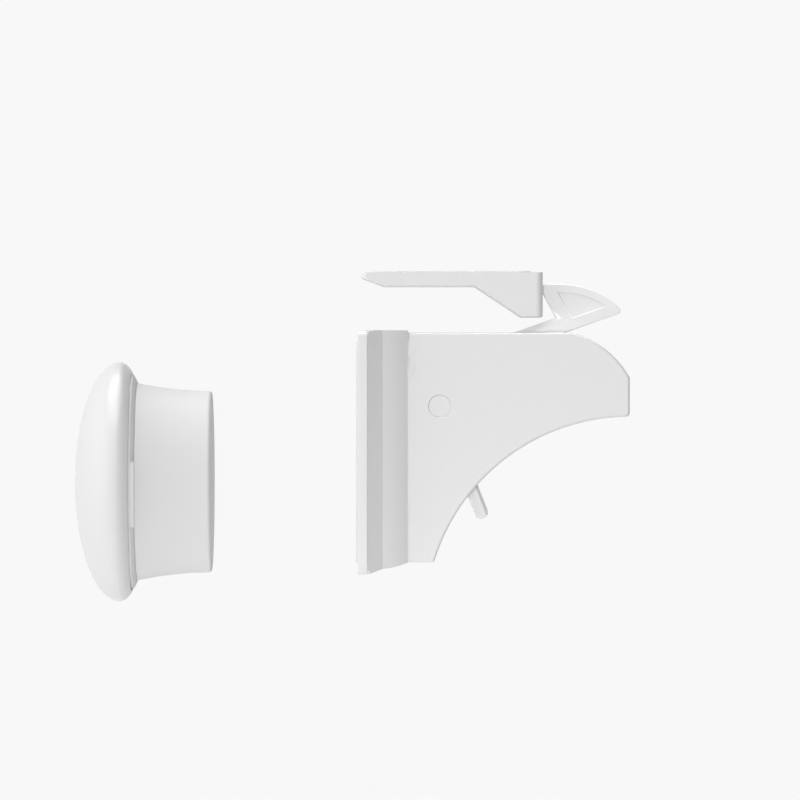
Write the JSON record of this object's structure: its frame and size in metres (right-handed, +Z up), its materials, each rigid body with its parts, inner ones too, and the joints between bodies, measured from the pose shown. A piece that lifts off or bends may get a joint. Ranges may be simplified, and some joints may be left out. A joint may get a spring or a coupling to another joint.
{
  "type": "magnetic cabinet safety lock",
  "caption": "Stick-on cabinet safety lock: a sprung hook in a corbel-shaped case, a ramped catch under the panel above, and a round magnetic key that pulls the hook down through the door.",
  "frame": {"origin": "middle of the case's adhesive face, on the inside of the door", "axes": "+X from the door into the cabinet, +Z up, +Y to the left when looking into the cabinet along +X"},
  "size_m": [0.128, 0.0554, 0.0763],
  "materials": {
    "case_white": "fine mould texture",
    "key_white": "smooth satin gloss",
    "pin_plastic": "smooth",
    "pad_foam": "closed-cell foam tape",
    "key_foam": "soft pad",
    "pin_steel": "drawn",
    "spring_steel": "drawn wire",
    "screw_steel": "zinc plated",
    "yoke_steel": "zinc plated",
    "magnet_nickel": "nickel plated"
  },
  "bodies": {
    "case": {"back_plate": "case_white", "case_pad": "pad_foam", "plate_screws": "screw_steel", "case_shell": "case_white", "latch_pin": "pin_steel", "lever_pin": "pin_plastic", "latch_spring": "spring_steel"},
    "latch": {"latch_arm": "case_white", "latch_magnet": "magnet_nickel", "magnet_lid": "case_white"},
    "lever": {"hold_lever": "case_white"},
    "catch": {"catch_body": "case_white", "catch_pad": "pad_foam"},
    "key": {"key_dome": "key_white", "key_collar": "key_white", "key_barrel": "key_white", "key_carrier": "case_white", "key_magnet": "magnet_nickel", "key_yoke": "yoke_steel", "key_pad": "key_foam", "key_screws": "screw_steel"}
  },
  "joints": [
    {"name": "latch_swing", "type": "hinge", "parent": "case", "child": "latch", "pos_m": [0.0106, 0, 0.0198], "axis": [0, 1, 0], "range_deg": [0, 14.5], "stiffness_Nm_per_rad": 0.05, "springref_deg": -20.05, "deforming": ["latch_spring"]},
    {"name": "lever_flip", "type": "hinge", "parent": "case", "child": "lever", "pos_m": [0.0192, 0, 0.0106], "axis": [0, -1, 0], "range_deg": [0, 26]},
    {"name": "catch_lift", "type": "slide", "parent": "case", "child": "catch", "axis": [0, 0, 1], "range_m": [0, 0.03]},
    {"name": "key_slide", "type": "slide", "parent": "case", "child": "key", "axis": [1, 0, 0], "range_m": [-0.03, 0.01535]}
  ]
}
